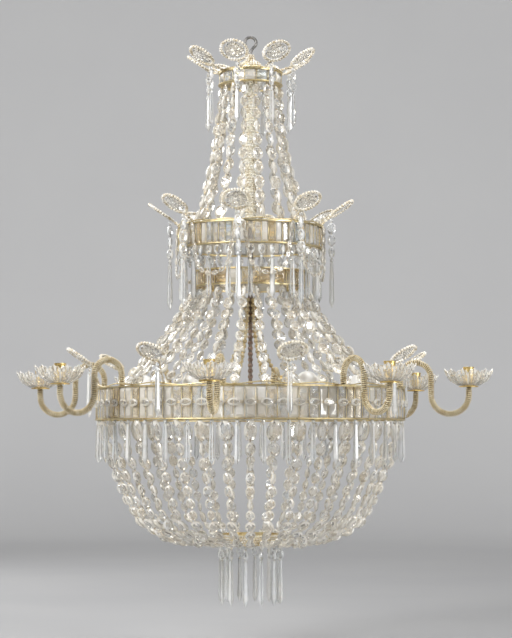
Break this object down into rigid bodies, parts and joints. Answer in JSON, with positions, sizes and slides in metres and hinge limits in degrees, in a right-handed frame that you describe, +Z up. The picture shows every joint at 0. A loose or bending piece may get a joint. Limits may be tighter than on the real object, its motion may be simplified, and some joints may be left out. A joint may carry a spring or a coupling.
{
  "type": "chandelier",
  "caption": "Hanging chandelier with tiers of beaded strands over a beaded bag, openwork rings with glass panes, curved arms with candle cups in glass pans, and hanging prisms.",
  "frame": {"origin": "inside of the suspension hook's crook, where it bears on what carries it", "axes": "+Z up along the stem, -Y towards the viewer of the picture, +X to the viewer's right"},
  "size_m": [1.0862, 1.0862, 1.3029],
  "materials": {
    "iron": "dark brown, worn",
    "gilt": "old pale gilding, rubbed",
    "brass": "warm, dull polish",
    "crystal": "clear cut glass, slightly warm",
    "amber_crystal": "amber tinted cut glass",
    "small_beads": "cream glass beads on wire",
    "bulb": "frosted white",
    "holder": "ivory",
    "wire": "thin drawn wire"
  },
  "bodies": {
    "hook": {"suspension_hook": "iron"},
    "frame": {"stem_collar": "small_beads", "stem_rod": "iron", "stem_beading": "small_beads", "top_ring": "gilt", "middle_ring": "gilt", "ring_panes": "crystal", "inner_ring": "gilt", "inner_ring_panes": "amber_crystal", "large_ring": "gilt", "large_ring_lozenges": "crystal", "ring_spider": "gilt", "bag_ring": "gilt", "stays": "small_beads", "upper_strands": "crystal", "tent_strands": "crystal", "bag_strands": "crystal", "strand_wires": "wire", "rosettes": "small_beads", "rosette_stems": "small_beads", "large_drops": "crystal", "middle_fringe": "crystal", "middle_swags": "crystal", "large_fringe": "crystal", "bottom_drops": "crystal", "candle_cups": "brass", "bulbs": "bulb", "lampholders": "holder", "arm_1": "small_beads", "arm_2": "small_beads", "arm_3": "small_beads", "arm_4": "small_beads", "arm_5": "small_beads", "arm_6": "small_beads", "arm_7": "small_beads", "arm_8": "small_beads"},
    "top_drop_1": {"top_drop_1": "crystal"},
    "top_drop_2": {"top_drop_2": "crystal"},
    "top_drop_3": {"top_drop_3": "crystal"},
    "top_drop_4": {"top_drop_4": "crystal"},
    "top_drop_5": {"top_drop_5": "crystal"},
    "top_drop_6": {"top_drop_6": "crystal"},
    "top_drop_7": {"top_drop_7": "crystal"},
    "top_drop_8": {"top_drop_8": "crystal"},
    "middle_drop_1": {"middle_drop_1": "crystal"},
    "middle_drop_2": {"middle_drop_2": "crystal"},
    "middle_drop_3": {"middle_drop_3": "crystal"},
    "middle_drop_4": {"middle_drop_4": "crystal"},
    "middle_drop_5": {"middle_drop_5": "crystal"},
    "middle_drop_6": {"middle_drop_6": "crystal"},
    "middle_drop_7": {"middle_drop_7": "crystal"},
    "middle_drop_8": {"middle_drop_8": "crystal"},
    "drip_pan_1": {"drip_pan_1": "crystal"},
    "drip_pan_2": {"drip_pan_2": "crystal"},
    "drip_pan_3": {"drip_pan_3": "crystal"},
    "drip_pan_4": {"drip_pan_4": "crystal"},
    "drip_pan_5": {"drip_pan_5": "crystal"},
    "drip_pan_6": {"drip_pan_6": "crystal"},
    "drip_pan_7": {"drip_pan_7": "crystal"},
    "drip_pan_8": {"drip_pan_8": "crystal"}
  },
  "joints": [
    {"name": "hook_swivel", "type": "hinge", "parent": "hook", "child": "frame", "pos_m": [0, 0, -0.06], "axis": [0, 0, 1], "continuous": true},
    {"name": "top_drop_1_swing", "type": "hinge", "parent": "frame", "child": "top_drop_1", "pos_m": [-0.0298, -0.09747, -0.07321], "axis": [-0.2924, -0.9563, 0], "range_deg": [-15, 15]},
    {"name": "top_drop_2_swing", "type": "hinge", "parent": "frame", "child": "top_drop_2", "pos_m": [0.04785, -0.09, -0.07321], "axis": [0.4695, -0.8829, 0], "range_deg": [-15, 15]},
    {"name": "top_drop_3_swing", "type": "hinge", "parent": "frame", "child": "top_drop_3", "pos_m": [0.09747, -0.0298, -0.07321], "axis": [0.9563, -0.2924, 0], "range_deg": [-15, 15]},
    {"name": "top_drop_4_swing", "type": "hinge", "parent": "frame", "child": "top_drop_4", "pos_m": [0.09, 0.04785, -0.07321], "axis": [0.8829, 0.4695, 0], "range_deg": [-15, 15]},
    {"name": "top_drop_5_swing", "type": "hinge", "parent": "frame", "child": "top_drop_5", "pos_m": [0.0298, 0.09747, -0.07321], "axis": [0.2924, 0.9563, 0], "range_deg": [-15, 15]},
    {"name": "top_drop_6_swing", "type": "hinge", "parent": "frame", "child": "top_drop_6", "pos_m": [-0.04785, 0.09, -0.07321], "axis": [-0.4695, 0.8829, 0], "range_deg": [-15, 15]},
    {"name": "top_drop_7_swing", "type": "hinge", "parent": "frame", "child": "top_drop_7", "pos_m": [-0.09747, 0.0298, -0.07321], "axis": [-0.9563, 0.2924, 0], "range_deg": [-15, 15]},
    {"name": "top_drop_8_swing", "type": "hinge", "parent": "frame", "child": "top_drop_8", "pos_m": [-0.09, -0.04785, -0.07321], "axis": [-0.8829, -0.4695, 0], "range_deg": [-15, 15]},
    {"name": "middle_drop_1_swing", "type": "hinge", "parent": "frame", "child": "middle_drop_1", "pos_m": [-0.02666, -0.18501, -0.42021], "axis": [-0.1426, -0.9898, 0], "range_deg": [-15, 15]},
    {"name": "middle_drop_2_swing", "type": "hinge", "parent": "frame", "child": "middle_drop_2", "pos_m": [0.11197, -0.14968, -0.42021], "axis": [0.599, -0.8007, 0], "range_deg": [-15, 15]},
    {"name": "middle_drop_3_swing", "type": "hinge", "parent": "frame", "child": "middle_drop_3", "pos_m": [0.18501, -0.02666, -0.42021], "axis": [0.9898, -0.1426, 0], "range_deg": [-15, 15]},
    {"name": "middle_drop_4_swing", "type": "hinge", "parent": "frame", "child": "middle_drop_4", "pos_m": [0.14968, 0.11197, -0.42021], "axis": [0.8007, 0.599, 0], "range_deg": [-15, 15]},
    {"name": "middle_drop_5_swing", "type": "hinge", "parent": "frame", "child": "middle_drop_5", "pos_m": [0.02666, 0.18501, -0.42021], "axis": [0.1426, 0.9898, 0], "range_deg": [-15, 15]},
    {"name": "middle_drop_6_swing", "type": "hinge", "parent": "frame", "child": "middle_drop_6", "pos_m": [-0.11197, 0.14968, -0.42021], "axis": [-0.599, 0.8007, 0], "range_deg": [-15, 15]},
    {"name": "middle_drop_7_swing", "type": "hinge", "parent": "frame", "child": "middle_drop_7", "pos_m": [-0.18501, 0.02666, -0.42021], "axis": [-0.9898, 0.1426, 0], "range_deg": [-15, 15]},
    {"name": "middle_drop_8_swing", "type": "hinge", "parent": "frame", "child": "middle_drop_8", "pos_m": [-0.14968, -0.11197, -0.42021], "axis": [-0.8007, -0.599, 0], "range_deg": [-15, 15]},
    {"name": "drip_pan_1_lift", "type": "slide", "parent": "frame", "child": "drip_pan_1", "axis": [0, 0, 1], "range_m": [0, 0.06]},
    {"name": "drip_pan_2_lift", "type": "slide", "parent": "frame", "child": "drip_pan_2", "axis": [0, 0, 1], "range_m": [0, 0.06]},
    {"name": "drip_pan_3_lift", "type": "slide", "parent": "frame", "child": "drip_pan_3", "axis": [0, 0, 1], "range_m": [0, 0.06]},
    {"name": "drip_pan_4_lift", "type": "slide", "parent": "frame", "child": "drip_pan_4", "axis": [0, 0, 1], "range_m": [0, 0.06]},
    {"name": "drip_pan_5_lift", "type": "slide", "parent": "frame", "child": "drip_pan_5", "axis": [0, 0, 1], "range_m": [0, 0.06]},
    {"name": "drip_pan_6_lift", "type": "slide", "parent": "frame", "child": "drip_pan_6", "axis": [0, 0, 1], "range_m": [0, 0.06]},
    {"name": "drip_pan_7_lift", "type": "slide", "parent": "frame", "child": "drip_pan_7", "axis": [0, 0, 1], "range_m": [0, 0.06]},
    {"name": "drip_pan_8_lift", "type": "slide", "parent": "frame", "child": "drip_pan_8", "axis": [0, 0, 1], "range_m": [0, 0.06]}
  ]
}
